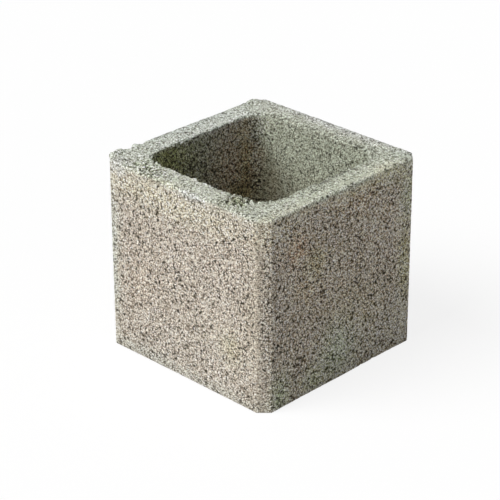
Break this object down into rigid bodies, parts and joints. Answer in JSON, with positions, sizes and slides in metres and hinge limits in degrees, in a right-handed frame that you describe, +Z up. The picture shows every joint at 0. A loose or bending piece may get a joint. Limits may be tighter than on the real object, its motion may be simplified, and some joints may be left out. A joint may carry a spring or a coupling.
{
  "type": "hollow concrete block",
  "caption": "Short square hollow concrete block with one square core right through it and a narrow chamfer down each outer corner.",
  "frame": {"origin": "centre of the bottom bed, on the level that the block stands on", "axes": "+Z up along the core, from the bottom bed to the top bed; +X and +Y square to the outer faces"},
  "size_m": [0.205, 0.205, 0.19],
  "materials": {
    "concrete": "matte"
  },
  "bodies": {
    "root": {"hollow_block": "concrete"}
  },
  "joints": []
}
